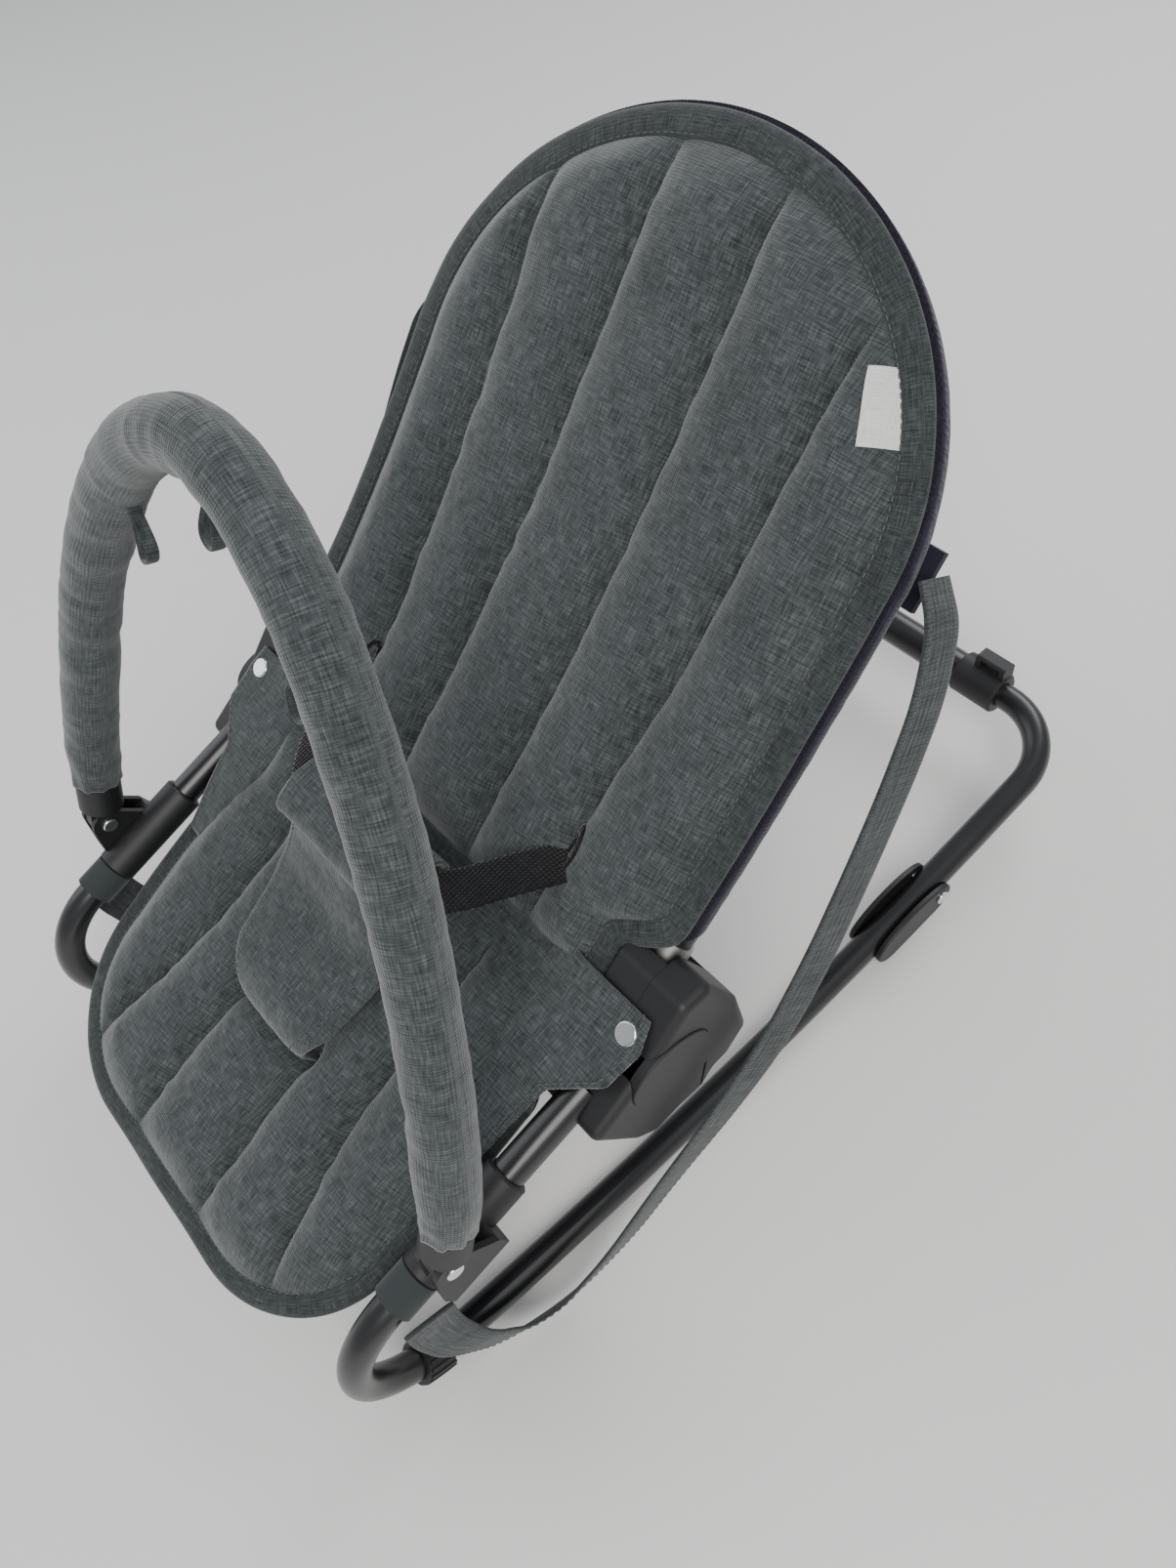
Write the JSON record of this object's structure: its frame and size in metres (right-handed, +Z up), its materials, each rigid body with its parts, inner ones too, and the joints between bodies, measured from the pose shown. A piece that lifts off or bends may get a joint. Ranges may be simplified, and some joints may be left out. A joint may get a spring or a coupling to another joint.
{
  "type": "baby bouncer seat",
  "caption": "Padded baby bouncer seat on curved tube rockers with a reclining back, arched toy bar, flip feet, waist belt and carry straps.",
  "frame": {"origin": "on the floor, centre of the overall length and width without the carry straps", "axes": "+Z up, +Y from the feet end to the head end, +X to the right-hand side seen from the feet end facing the head end"},
  "size_m": [0.4344, 0.6616, 0.4972],
  "materials": {
    "black_tube": "satin",
    "steel_tube": "plain",
    "black_plastic": "fine grain",
    "bright_rivet": "polished",
    "zinc_steel": "zinc plated",
    "spring_steel": "plain",
    "melange_fabric": "melange weave",
    "navy_liner": "ribbed",
    "black_webbing": "webbing",
    "strap_fabric": "stitched twill",
    "white_label": "woven"
  },
  "bodies": {
    "base": {"right_side_tube": "black_tube", "left_side_tube": "black_tube", "rear_crossbar": "black_tube", "right_crossbar_collar": "black_plastic", "left_crossbar_collar": "black_plastic", "right_grip_collar": "black_plastic", "left_grip_collar": "black_plastic", "foot_rivets": "bright_rivet", "right_bar_socket": "black_plastic", "left_bar_socket": "black_plastic", "bar_rivets": "bright_rivet", "right_hub_outer_cover": "black_plastic", "left_hub_outer_cover": "black_plastic", "right_hub_inner_cover": "black_plastic", "left_hub_inner_cover": "black_plastic", "hub_screws": "zinc_steel", "fixed_rings": "zinc_steel", "right_release_spring": "spring_steel", "left_release_spring": "spring_steel", "pivot_bolts": "zinc_steel", "seat_tube": "steel_tube", "seat_tube_screws": "zinc_steel", "seat_pad": "melange_fabric", "seat_liner": "navy_liner", "crotch_pad": "melange_fabric", "belt_tunnel": "melange_fabric", "right_waist_strap": "black_webbing", "left_waist_strap": "black_webbing", "belt_buckle": "black_plastic", "right_hip_flap": "melange_fabric", "left_hip_flap": "melange_fabric", "press_studs": "bright_rivet", "right_carry_strap": "strap_fabric", "left_carry_strap": "strap_fabric", "strap_loops": "strap_fabric"},
    "backrest": {"backrest_tube": "black_tube", "right_moving_ring": "zinc_steel", "left_moving_ring": "zinc_steel", "backrest_pad": "melange_fabric", "backrest_liner": "navy_liner", "side_label": "white_label", "strap_tabs": "navy_liner"},
    "toy_bar": {"toy_bar_tube": "steel_tube", "toy_bar_sleeve": "melange_fabric", "toy_loops": "melange_fabric", "right_bar_plug": "black_plastic", "left_bar_plug": "black_plastic"},
    "right_foot": {"right_flip_foot": "black_plastic"},
    "left_foot": {"left_flip_foot": "black_plastic"},
    "right_button": {"right_release_button": "black_plastic", "right_lock_gear": "zinc_steel"},
    "left_button": {"left_release_button": "black_plastic", "left_lock_gear": "zinc_steel"}
  },
  "joints": [
    {"name": "backrest_recline", "type": "hinge", "parent": "base", "child": "backrest", "pos_m": [0, -0.07814, 0.184], "axis": [1, 0, 0], "range_deg": [-28, 0]},
    {"name": "toy_bar_swing", "type": "hinge", "parent": "base", "child": "toy_bar", "pos_m": [0, -0.22014, 0.166], "axis": [1, 0, 0], "range_deg": [-20, 75]},
    {"name": "right_foot_flip", "type": "hinge", "parent": "base", "child": "right_foot", "pos_m": [0.171, 0.17086, 0.03125], "axis": [1, 0, 0], "range_deg": [0, 75]},
    {"name": "left_foot_flip", "type": "hinge", "parent": "base", "child": "left_foot", "pos_m": [-0.171, 0.17086, 0.03125], "axis": [1, 0, 0], "range_deg": [0, 75]},
    {"name": "right_button_press", "type": "slide", "parent": "base", "child": "right_button", "axis": [-1, 0, 0], "range_m": [0, 0.006], "stiffness_N_per_m": 600, "deforming": ["right_release_spring"]},
    {"name": "left_button_press", "type": "slide", "parent": "base", "child": "left_button", "axis": [1, 0, 0], "range_m": [0, 0.006], "stiffness_N_per_m": 600, "deforming": ["left_release_spring"]}
  ]
}
